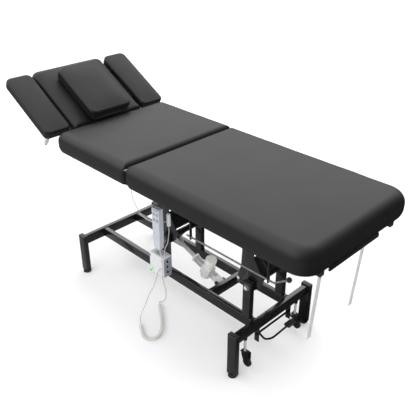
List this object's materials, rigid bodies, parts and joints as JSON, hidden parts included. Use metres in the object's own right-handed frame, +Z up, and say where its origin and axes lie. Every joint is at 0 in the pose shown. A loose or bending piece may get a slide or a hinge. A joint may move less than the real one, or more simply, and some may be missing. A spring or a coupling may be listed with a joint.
{
  "type": "electric massage table",
  "caption": "Three-section padded treatment couch with folding armrests and pillow on an electric height-adjusting steel frame with handset, pedal and castors",
  "frame": {"origin": "centre of the plan box at floor level, cords left out", "axes": "+X along the table to the foot end, +Y across it to the side away from the handset, +Z up"},
  "size_m": [1.905, 0.753, 1.0437],
  "materials": {
    "paint": "satin black powder coat",
    "vinyl": "matte black synthetic leather over foam",
    "board": "dark covered plywood",
    "steel": "bright zinc-plated steel",
    "grey_plastic": "light grey moulded plastic",
    "white_plastic": "white moulded plastic",
    "green_plastic": "green translucent button",
    "rubber": "black rubber"
  },
  "bodies": {
    "base": {"end_frame_head": "paint", "end_frame_foot": "paint", "rail_near": "paint", "rail_far": "paint", "post_head_near": "paint", "post_head_far": "paint", "post_foot_near": "paint", "post_foot_far": "paint", "glide_head_near": "rubber", "glide_head_far": "rubber", "glide_foot_near": "rubber", "glide_foot_far": "rubber", "lower_rod_head": "steel", "lower_rod_foot": "steel", "actuator_bar": "paint", "control_box": "white_plastic", "curly_cord": "white_plastic", "box_lead": "white_plastic", "motor_cord": "white_plastic", "handset_lead": "white_plastic"},
    "power_button_body": {"power_button": "green_plastic"},
    "rocker_foot_body": {"rocker_foot": "paint"},
    "rocker_head_body": {"rocker_head": "paint"},
    "top": {"top_rail_near": "paint", "top_rail_far": "paint", "top_bar_head": "paint", "top_bar_foot": "paint", "end_bar": "paint", "leg_board": "board", "leg_cushion": "vinyl", "seam_hinge": "steel", "strap_rod": "paint", "switch_cord": "white_plastic", "cord_coupling": "white_plastic"},
    "mid_section": {"mid_board": "board", "mid_cushion": "vinyl", "mid_frame": "paint"},
    "head_section": {"head_board": "board", "head_cushion": "vinyl"},
    "armrest_near_body": {"armrest_near": "vinyl", "armrest_bracket_near": "steel"},
    "armrest_far_body": {"armrest_far": "vinyl", "armrest_bracket_far": "steel"},
    "pillow_body": {"pillow": "vinyl"},
    "actuator": {"actuator_body": "grey_plastic"},
    "plunger": {"actuator_rod": "steel"},
    "pedal_body": {"pedal": "paint"},
    "carrier": {"castor_carrier": "paint"},
    "fork_near": {"castor_fork_near": "steel"},
    "fork_far": {"castor_fork_far": "steel"},
    "wheel_near": {"castor_wheel_near": "rubber"},
    "wheel_far": {"castor_wheel_far": "rubber"},
    "lever": {"release_lever": "steel"},
    "handset_body": {"handset": "white_plastic"},
    "key_1": {"handset_key_1": "grey_plastic"},
    "key_2": {"handset_key_2": "grey_plastic"},
    "key_3": {"handset_key_3": "grey_plastic"},
    "key_4": {"handset_key_4": "grey_plastic"},
    "strap_near_body": {"strap_near": "steel"},
    "strap_far_body": {"strap_far": "steel"}
  },
  "joints": [
    {"name": "lift", "type": "hinge", "parent": "base", "child": "rocker_foot_body", "pos_m": [0.51254, 0, 0.382], "axis": [0, -1, 0], "range_deg": [-10, 70], "deforming": ["motor_cord", "handset_lead"]},
    {"name": "top_level", "type": "hinge", "parent": "rocker_foot_body", "child": "top", "pos_m": [0.46218, 0, 0.66759], "axis": [0, -1, 0], "range_deg": [-70, 10]},
    {"name": "lift_head", "type": "hinge", "parent": "base", "child": "rocker_head_body", "pos_m": [-0.01746, 0, 0.382], "axis": [0, -1, 0], "range_deg": [-10, 70]},
    {"name": "actuator_tilt", "type": "hinge", "parent": "base", "child": "actuator", "pos_m": [0.23754, 0, 0.2], "axis": [0, 1, 0], "range_deg": [-0.6, 4.2]},
    {"name": "actuator_stroke", "type": "slide", "parent": "actuator", "child": "plunger", "axis": [0.94, 0, -0.3411], "range_m": [-0.0145, 0.0993]},
    {"name": "mid_tilt", "type": "hinge", "parent": "top", "child": "mid_section", "pos_m": [-0.01096, 0, 0.822], "axis": [0, 1, 0], "range_deg": [0, 30]},
    {"name": "head_tilt", "type": "hinge", "parent": "mid_section", "child": "head_section", "pos_m": [-0.56446, 0, 0.732], "axis": [0, 1, 0], "range_deg": [-44.5, 1]},
    {"name": "armrest_near_fold", "type": "hinge", "parent": "head_section", "child": "armrest_near_body", "pos_m": [-0.54674, -0.2245, 0.76333], "axis": [0.8704, 0, -0.4924], "range_deg": [0, 90]},
    {"name": "armrest_far_fold", "type": "hinge", "parent": "head_section", "child": "armrest_far_body", "pos_m": [-0.54674, 0.2245, 0.76333], "axis": [-0.8704, 0, 0.4924], "range_deg": [0, 90]},
    {"name": "pillow_lift_off", "type": "slide", "parent": "head_section", "child": "pillow_body", "axis": [0.4924, 0, 0.8704], "range_m": [0, 0.15]},
    {"name": "pedal_press", "type": "hinge", "parent": "base", "child": "pedal_body", "pos_m": [0.56154, 0, 0.14], "axis": [0, 1, 0], "range_deg": [0, 15]},
    {"name": "castor_drop", "type": "slide", "parent": "base", "child": "carrier", "axis": [0, 0, -1], "range_m": [0, 0.0161]},
    {"name": "castor_near_swivel", "type": "hinge", "parent": "carrier", "child": "fork_near", "pos_m": [0.56154, -0.177, 0.0924], "axis": [0, 0, 1], "continuous": true},
    {"name": "castor_far_swivel", "type": "hinge", "parent": "carrier", "child": "fork_far", "pos_m": [0.56154, 0.177, 0.0924], "axis": [0, 0, 1], "continuous": true},
    {"name": "castor_near_roll", "type": "hinge", "parent": "fork_near", "child": "wheel_near", "pos_m": [0.57754, -0.177, 0.036], "axis": [0, 1, 0], "continuous": true},
    {"name": "castor_far_roll", "type": "hinge", "parent": "fork_far", "child": "wheel_far", "pos_m": [0.57754, 0.177, 0.036], "axis": [0, 1, 0], "continuous": true},
    {"name": "release_lever_turn", "type": "hinge", "parent": "top", "child": "lever", "pos_m": [0.24754, -0.22, 0.57], "axis": [1, 0, 0], "range_deg": [0, 60]},
    {"name": "handset_lift_off", "type": "slide", "parent": "top", "child": "handset_body", "axis": [0, -1, 0], "range_m": [0, 0.1]},
    {"name": "key_1_press", "type": "slide", "parent": "handset_body", "child": "key_1", "axis": [0, 1, 0], "range_m": [0, 0.0013], "stiffness_N_per_m": 300, "springref_m": -0.001},
    {"name": "key_2_press", "type": "slide", "parent": "handset_body", "child": "key_2", "axis": [0, 1, 0], "range_m": [0, 0.0013], "stiffness_N_per_m": 300, "springref_m": -0.001},
    {"name": "key_3_press", "type": "slide", "parent": "handset_body", "child": "key_3", "axis": [0, 1, 0], "range_m": [0, 0.0013], "stiffness_N_per_m": 300, "springref_m": -0.001},
    {"name": "key_4_press", "type": "slide", "parent": "handset_body", "child": "key_4", "axis": [0, 1, 0], "range_m": [0, 0.0013], "stiffness_N_per_m": 300, "springref_m": -0.001},
    {"name": "power_button_press", "type": "slide", "parent": "base", "child": "power_button_body", "axis": [0, 1, 0], "range_m": [0, 0.002], "stiffness_N_per_m": 400, "springref_m": -0.001},
    {"name": "strap_near_swing", "type": "hinge", "parent": "top", "child": "strap_near_body", "pos_m": [0.87854, -0.144, 0.715], "axis": [0, -1, 0], "range_deg": [-3, 30]},
    {"name": "strap_far_swing", "type": "hinge", "parent": "top", "child": "strap_far_body", "pos_m": [0.87854, 0.144, 0.715], "axis": [0, -1, 0], "range_deg": [-3, 30]}
  ],
  "couplings": [
    {"joint": "top_level", "follows": "lift", "ratio": -1},
    {"joint": "lift_head", "follows": "lift", "ratio": 1},
    {"joint": "actuator_tilt", "follows": "lift", "ratio": 0.06},
    {"joint": "actuator_stroke", "follows": "lift", "m_per_rad": 0.08083},
    {"joint": "castor_drop", "follows": "pedal_press", "m_per_rad": 0.0611}
  ]
}
